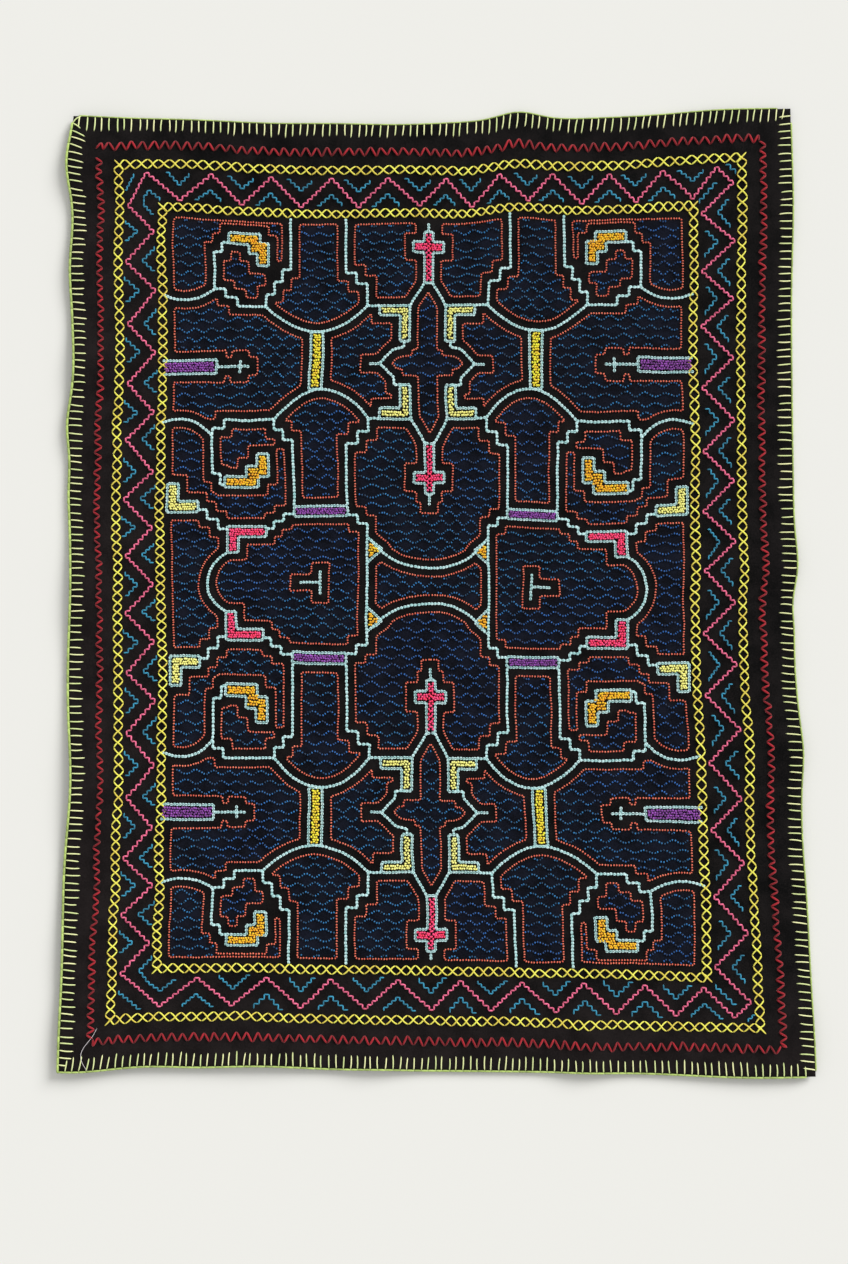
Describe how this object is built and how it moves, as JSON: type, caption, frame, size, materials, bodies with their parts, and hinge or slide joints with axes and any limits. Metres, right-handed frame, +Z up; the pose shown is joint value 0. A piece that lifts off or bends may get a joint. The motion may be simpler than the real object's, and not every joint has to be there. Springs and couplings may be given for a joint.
{
  "type": "embroidered ceremonial cloth",
  "caption": "Rectangular black cotton cloth laid flat, with a yarn blanket-stitch edge, braided borders and a geometric embroidered field.",
  "frame": {"origin": "on the surface that the cloth lies on, under the middle of its box", "axes": "+Z up out of the embroidered face, +Y along the cloth's length towards its narrower end, +X across it"},
  "size_m": [0.7131, 0.9115, 0.0102],
  "materials": {
    "cotton_ground": "matte plain weave, dyed black",
    "edge_yarn": "matte lime yarn in blanket stitch",
    "aqua_yarn": "pale aqua yarn in chain stitch",
    "coral_thread": "coral thread in back stitch",
    "blue_thread": "blue thread in wavy running stitch",
    "red_thread": "dark red thread in zigzag stitch",
    "yellow_thread": "yellow thread in crossed diamond stitch",
    "pink_thread": "pink thread in back stitch",
    "cyan_thread": "cyan thread in back stitch",
    "magenta_yarn": "magenta yarn in filling chain stitch",
    "orange_yarn": "orange yarn in filling chain stitch",
    "purple_yarn": "purple yarn in filling chain stitch",
    "gold_yarn": "yellow yarn in filling chain stitch"
  },
  "bodies": {
    "root": {"cloth": "cotton_ground", "edging": "edge_yarn"}
  },
  "joints": []
}
